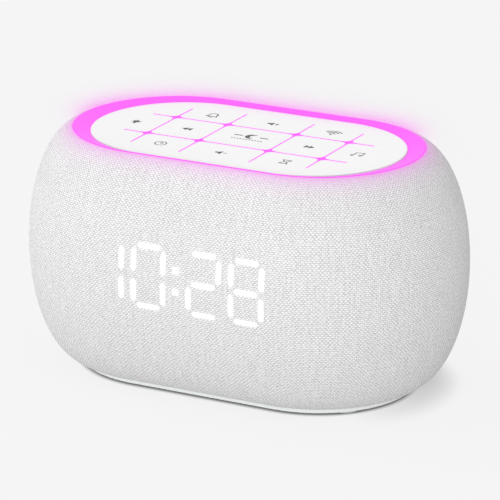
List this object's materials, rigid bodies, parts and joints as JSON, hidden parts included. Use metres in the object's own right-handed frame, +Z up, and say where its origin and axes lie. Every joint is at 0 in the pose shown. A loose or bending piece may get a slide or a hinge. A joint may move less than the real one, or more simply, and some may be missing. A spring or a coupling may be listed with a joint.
{
  "type": "bedside sound machine with clock",
  "caption": "Cloth-covered oval bedside sound machine with a clock seen through the cloth, a lit ring on top and white press keys inside it.",
  "frame": {"origin": "on the table, under the middle of the body, level with the bottoms of the feet", "axes": "+X along the long axis, to the right as the clock is read; -Y is the clock side, +Y the speaker and power side; +Z up"},
  "size_m": [0.1526, 0.1002, 0.0817],
  "materials": {
    "cloth": "fine plain-woven off-white speaker cloth",
    "shell_plastic": "moulded white plastic",
    "base_plastic": "moulded pale grey plastic, satin",
    "frame_plastic": "moulded white plastic, plain inside face",
    "screw_steel": "zinc-plated screw",
    "foot_rubber": "grey rubber",
    "cell_steel": "nickel-plated cell can",
    "contact_metal": "plated spring contact",
    "circuit_board": "green solder mask",
    "led_plastic": "clear epoxy over a white cup",
    "dark_plastic": "black light-tight plastic",
    "ring_diffuser": "milky diffuser, lit magenta from inside",
    "line_diffuser": "milky light guide, lit magenta from below",
    "key_plastic": "white moulded plastic, fine satin",
    "switch_plastic": "black switch plastic",
    "lit_diffuser": "clear bar, lit white from behind",
    "dark_diffuser": "clear bar, unlit",
    "basket_steel": "black-painted pressed steel",
    "ferrite": "dark sintered ferrite",
    "copper": "enamelled copper winding",
    "cone_paper": "black pulp cone",
    "surround_rubber": "soft black rubber",
    "spider_cloth": "resin-treated woven spider",
    "foam": "closed-cell foam",
    "chip_plastic": "black moulded packages and connectors",
    "socket_steel": "plated socket shell",
    "bezel_plastic": "moulded white plastic",
    "cable_plastic": "cable insulation"
  },
  "bodies": {
    "machine": {"fabric_sleeve": "cloth", "front_shell": "shell_plastic", "rear_shell": "shell_plastic", "base_plate": "base_plastic", "base_screws": "screw_steel", "rubber_feet": "foot_rubber", "coin_cell": "cell_steel", "battery_contacts": "contact_metal", "top_deck": "frame_plastic", "top_board": "circuit_board", "top_leds": "led_plastic", "light_baffle": "dark_plastic", "light_ring": "ring_diffuser", "grid_light_guide": "line_diffuser", "key_panel": "key_plastic", "switch_bodies": "switch_plastic", "inner_screws": "screw_steel", "display_shade": "dark_plastic", "lit_segments": "lit_diffuser", "dark_segments": "dark_diffuser", "display_board": "circuit_board", "display_leds": "led_plastic", "speaker_basket": "basket_steel", "speaker_top_plate": "basket_steel", "speaker_magnet": "ferrite", "speaker_yoke": "basket_steel", "speaker_surround": "surround_rubber", "speaker_spider": "spider_cloth", "speaker_gasket": "foam", "main_board": "circuit_board", "board_parts": "chip_plastic", "power_socket": "socket_steel", "port_bezel": "bezel_plastic", "internal_cables": "cable_plastic"},
    "hatch": {"battery_door": "base_plastic"},
    "moving_cone": {"voice_coil": "copper", "speaker_cone": "cone_paper", "speaker_dust_cap": "cone_paper"},
    "alarm_key": {"key_alarm": "key_plastic", "plunger_alarm": "switch_plastic"},
    "volume_up_key": {"key_volume_up": "key_plastic", "plunger_volume_up": "switch_plastic"},
    "wireless_key": {"key_wireless": "key_plastic", "plunger_wireless": "switch_plastic"},
    "light_key": {"key_light": "key_plastic", "plunger_light": "switch_plastic"},
    "previous_key": {"key_previous": "key_plastic", "plunger_previous": "switch_plastic"},
    "snooze_key": {"key_snooze": "key_plastic", "plunger_snooze": "switch_plastic"},
    "next_key": {"key_next": "key_plastic", "plunger_next": "switch_plastic"},
    "music_key": {"key_music": "key_plastic", "plunger_music": "switch_plastic"},
    "clock_key": {"key_clock": "key_plastic", "plunger_clock": "switch_plastic"},
    "volume_down_key": {"key_volume_down": "key_plastic", "plunger_volume_down": "switch_plastic"},
    "timer_key": {"key_timer": "key_plastic", "plunger_timer": "switch_plastic"}
  },
  "joints": [
    {"name": "previous_press", "type": "slide", "parent": "machine", "child": "previous_key", "axis": [0, 0, -1], "range_m": [0, 0.0005], "stiffness_N_per_m": 3000},
    {"name": "snooze_press", "type": "slide", "parent": "machine", "child": "snooze_key", "axis": [0, 0, -1], "range_m": [0, 0.0005], "stiffness_N_per_m": 3000},
    {"name": "next_press", "type": "slide", "parent": "machine", "child": "next_key", "axis": [0, 0, -1], "range_m": [0, 0.0005], "stiffness_N_per_m": 3000},
    {"name": "alarm_press", "type": "hinge", "parent": "machine", "child": "alarm_key", "pos_m": [-0.02243, 0.022, 0.0808], "axis": [1, 0, 0], "range_deg": [0, 4.5], "stiffness_Nm_per_rad": 0.4},
    {"name": "wireless_press", "type": "hinge", "parent": "machine", "child": "wireless_key", "pos_m": [0.02243, 0.022, 0.0808], "axis": [1, 0, 0], "range_deg": [0, 4.5], "stiffness_Nm_per_rad": 0.4},
    {"name": "volume_up_press", "type": "hinge", "parent": "machine", "child": "volume_up_key", "pos_m": [0, 0.0246, 0.0808], "axis": [1, 0, 0], "range_deg": [0, 3.65], "stiffness_Nm_per_rad": 0.4},
    {"name": "clock_press", "type": "hinge", "parent": "machine", "child": "clock_key", "pos_m": [-0.02243, -0.022, 0.0808], "axis": [-1, 0, 0], "range_deg": [0, 4.5], "stiffness_Nm_per_rad": 0.4},
    {"name": "timer_press", "type": "hinge", "parent": "machine", "child": "timer_key", "pos_m": [0.02243, -0.022, 0.0808], "axis": [-1, 0, 0], "range_deg": [0, 4.5], "stiffness_Nm_per_rad": 0.4},
    {"name": "volume_down_press", "type": "hinge", "parent": "machine", "child": "volume_down_key", "pos_m": [0, -0.0246, 0.0808], "axis": [-1, 0, 0], "range_deg": [0, 3.65], "stiffness_Nm_per_rad": 0.4},
    {"name": "light_press", "type": "hinge", "parent": "machine", "child": "light_key", "pos_m": [-0.0475, 0, 0.0808], "axis": [0, 1, 0], "range_deg": [0, 3.4], "stiffness_Nm_per_rad": 0.4},
    {"name": "music_press", "type": "hinge", "parent": "machine", "child": "music_key", "pos_m": [0.0475, 0, 0.0808], "axis": [0, -1, 0], "range_deg": [0, 3.4], "stiffness_Nm_per_rad": 0.4},
    {"name": "battery_door_turn", "type": "hinge", "parent": "machine", "child": "hatch", "pos_m": [-0.034, 0, 0.0018], "axis": [0, 0, 1], "range_deg": [0, 35]},
    {"name": "cone_travel", "type": "slide", "parent": "machine", "child": "moving_cone", "axis": [0, 1, 0], "range_m": [-0.001, 0.001], "stiffness_N_per_m": 2000, "deforming": ["speaker_surround", "speaker_spider"]}
  ]
}
